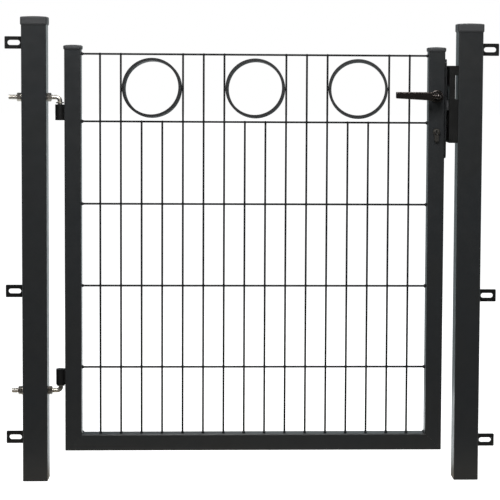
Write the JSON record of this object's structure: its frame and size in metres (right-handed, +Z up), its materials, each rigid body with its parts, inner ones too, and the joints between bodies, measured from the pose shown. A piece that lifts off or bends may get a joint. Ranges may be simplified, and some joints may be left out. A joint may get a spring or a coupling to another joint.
{
  "type": "garden gate with posts",
  "caption": "Garden gate of welded wire mesh with rolled rings in a U-shaped tube frame, hung between square posts on hook bolts, with a lever-handled latch lock.",
  "frame": {"origin": "centre of the hinge post's foot, on the ground", "axes": "+X from the hinge post to the latch post, -Y towards the front with the lever, +Z up"},
  "size_m": [1.197, 0.1258, 1.1286],
  "materials": {
    "grey_coat": "gloss",
    "black_coat": "satin",
    "cap_plastic": "matte",
    "zinc_steel": "satin",
    "dark_aluminium": "satin"
  },
  "bodies": {
    "posts": {"hinge_post": "grey_coat", "hinge_post_cap": "cap_plastic", "hinge_post_tab_top": "black_coat", "hinge_post_tab_middle": "black_coat", "hinge_post_tab_bottom": "black_coat", "latch_post": "grey_coat", "latch_post_cap": "cap_plastic", "latch_post_tab_top": "black_coat", "latch_post_tab_middle": "black_coat", "latch_post_tab_bottom": "black_coat", "hook_bolt_upper": "zinc_steel", "hook_bolt_lower": "zinc_steel", "nut_upper_outer": "zinc_steel", "nut_upper_inner": "zinc_steel", "nut_lower_outer": "zinc_steel", "nut_lower_inner": "zinc_steel", "washer_upper": "zinc_steel", "washer_lower": "zinc_steel", "keep": "black_coat"},
    "leaf": {"hinge_stile": "grey_coat", "latch_stile": "grey_coat", "bottom_rail": "grey_coat", "hinge_stile_cap": "cap_plastic", "latch_stile_cap": "cap_plastic", "wire_mesh": "grey_coat", "ring_left": "grey_coat", "ring_middle": "grey_coat", "ring_right": "grey_coat", "hinge_sleeve_upper": "black_coat", "hinge_sleeve_lower": "black_coat", "lock_case": "zinc_steel", "lock_face_plate": "grey_coat", "locking_bolt": "zinc_steel", "lock_cylinder": "dark_aluminium", "rose_front": "dark_aluminium", "rose_back": "dark_aluminium"},
    "handle": {"lever": "dark_aluminium", "spindle": "zinc_steel", "lock_follower": "zinc_steel", "knob": "dark_aluminium"},
    "latch": {"latch_bolt": "zinc_steel"}
  },
  "joints": [
    {"name": "gate_swing", "type": "hinge", "parent": "posts", "child": "leaf", "pos_m": [0.0602, 0, 0.253], "axis": [0, 0, -1], "range_deg": [0, 90]},
    {"name": "handle_turn", "type": "hinge", "parent": "leaf", "child": "handle", "pos_m": [0.972, 0, 0.942], "axis": [0, -1, 0], "range_deg": [0, 40], "stiffness_Nm_per_rad": 1, "springref_deg": -28.65},
    {"name": "latch_slide", "type": "slide", "parent": "leaf", "child": "latch", "axis": [-1, 0, 0], "range_m": [0, 0.013]}
  ],
  "couplings": [
    {"joint": "latch_slide", "follows": "handle_turn", "m_per_rad": 0.0185}
  ]
}
